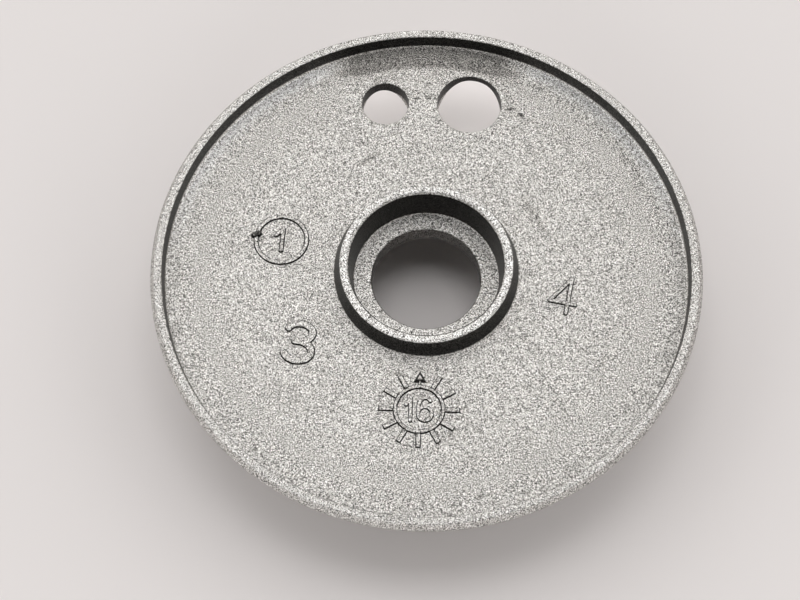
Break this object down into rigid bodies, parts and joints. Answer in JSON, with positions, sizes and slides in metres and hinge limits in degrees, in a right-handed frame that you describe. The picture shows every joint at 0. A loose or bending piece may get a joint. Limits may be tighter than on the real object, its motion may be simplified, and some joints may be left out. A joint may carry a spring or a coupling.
{
  "type": "gas burner cap",
  "caption": "Round die-cast aluminium burner crown: shallow rimmed dish with a socketed boss and bore, two flange holes, and a slotted flame ring on the hidden side.",
  "frame": {"origin": "centre of the flame ring's face, the lowest plane of the part as it lies underside up", "axes": "+Z along the bore, out of the visible underside; +Y midway between the electrode hole and the thermocouple hole; +X to the thermocouple hole's side"},
  "size_m": [0.0904, 0.0904, 0.0188],
  "materials": {
    "cast_aluminium": "shot-blasted die casting, matt with a fine sparkle"
  },
  "bodies": {
    "root": {"burner_cap": "cast_aluminium"}
  },
  "joints": []
}
